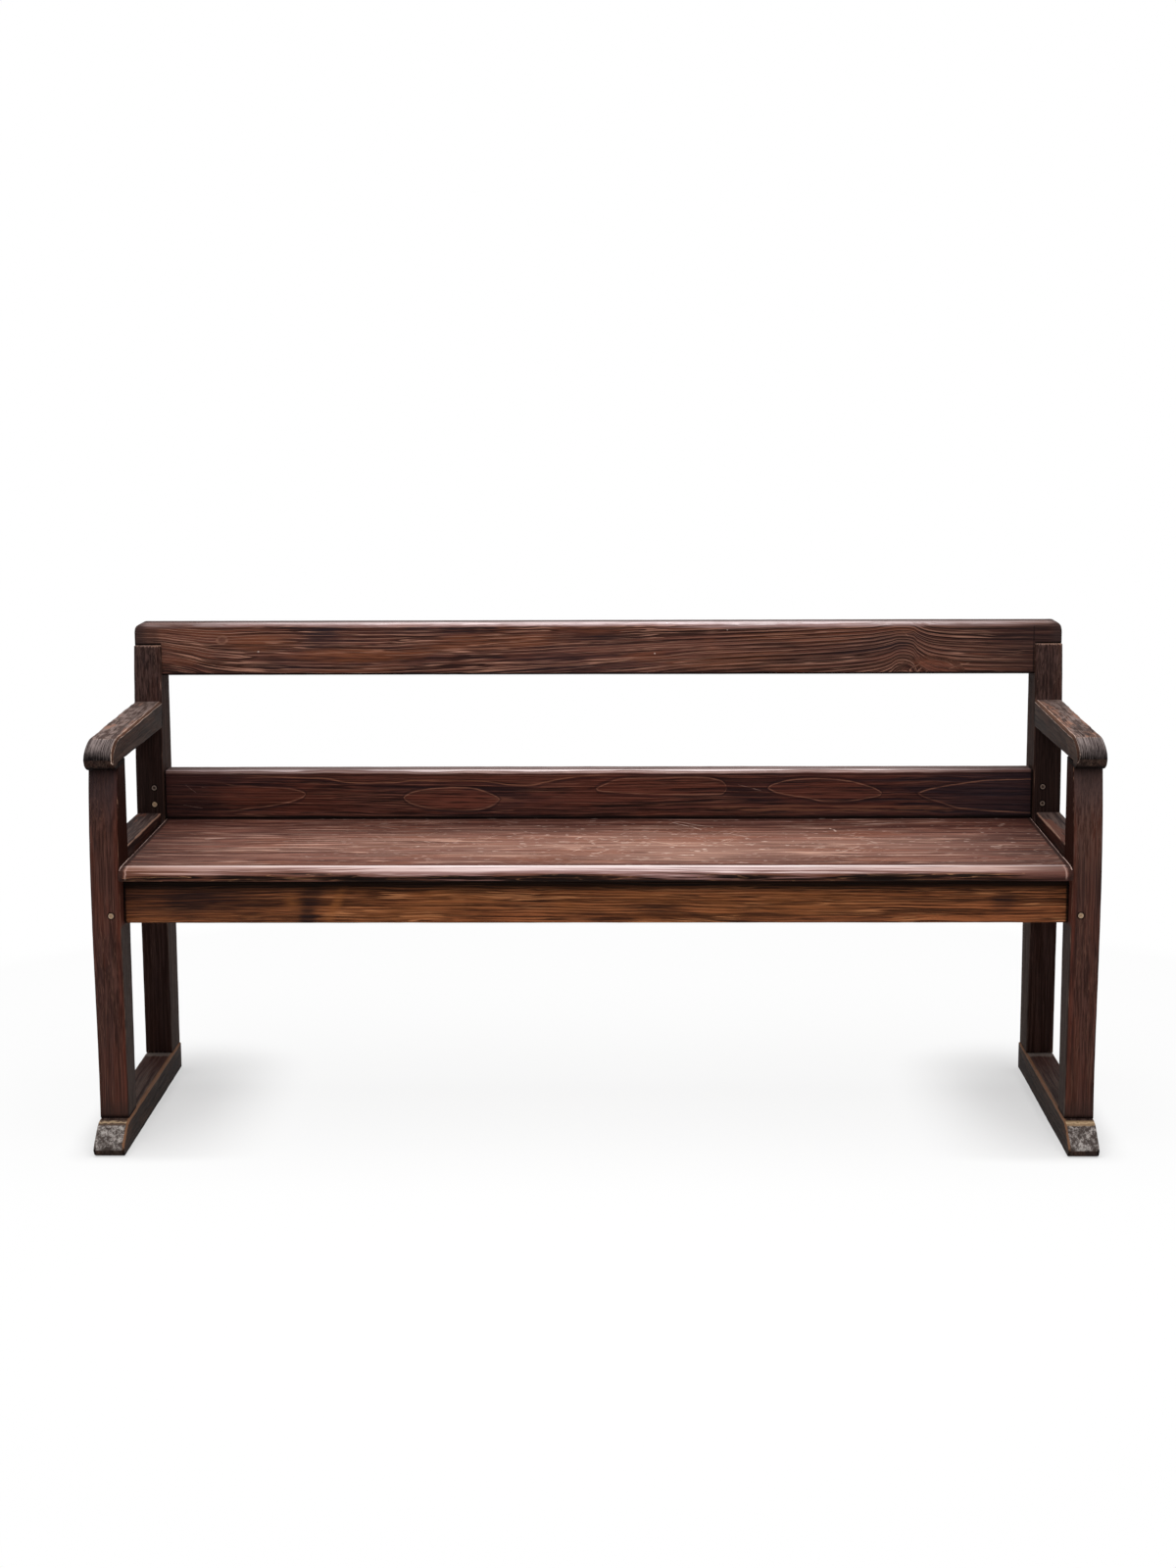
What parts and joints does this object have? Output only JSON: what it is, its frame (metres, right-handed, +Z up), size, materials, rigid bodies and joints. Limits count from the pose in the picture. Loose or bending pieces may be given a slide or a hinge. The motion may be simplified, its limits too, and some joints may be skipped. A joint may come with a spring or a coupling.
{
  "type": "deacons bench",
  "caption": "Long wooden bench with bowed post-and-runner end frames, open armrests, a one-board seat with a rolled front edge, an apron, a crest rail and a lower back rail, all pegged.",
  "frame": {"origin": "on the floor, in the middle of the bench's length and halfway between the toes and the heels of the feet", "axes": "+Z up, +X along the bench to the sitter's left, which is the right-hand end seen from in front, +Y from the front to the back"},
  "size_m": [1.5386, 0.521, 0.774],
  "materials": {
    "stained_wood": "dark red-brown stain on softwood, worn satin, paler on edges",
    "peg_wood": "hardwood pegs, end grain, worn",
    "screw_steel": "dull zinc-plated steel"
  },
  "bodies": {
    "root": {"left_foot": "stained_wood", "left_front_post": "stained_wood", "left_rear_post": "stained_wood", "left_armrest": "stained_wood", "left_side_rail": "stained_wood", "right_foot": "stained_wood", "right_front_post": "stained_wood", "right_rear_post": "stained_wood", "right_armrest": "stained_wood", "right_side_rail": "stained_wood", "crest_rail": "stained_wood", "lower_back_rail": "stained_wood", "seat_board": "stained_wood", "front_apron": "stained_wood", "rear_seat_rail": "stained_wood", "seat_bearer_1": "stained_wood", "seat_bearer_2": "stained_wood", "seat_bearer_3": "stained_wood", "back_rail_pegs": "peg_wood", "apron_pegs": "peg_wood", "rear_seat_rail_pegs": "peg_wood", "crest_pegs": "peg_wood", "side_rail_pegs": "peg_wood", "armrest_pegs": "peg_wood", "foot_pegs": "peg_wood", "seat_screws": "screw_steel"}
  },
  "joints": []
}
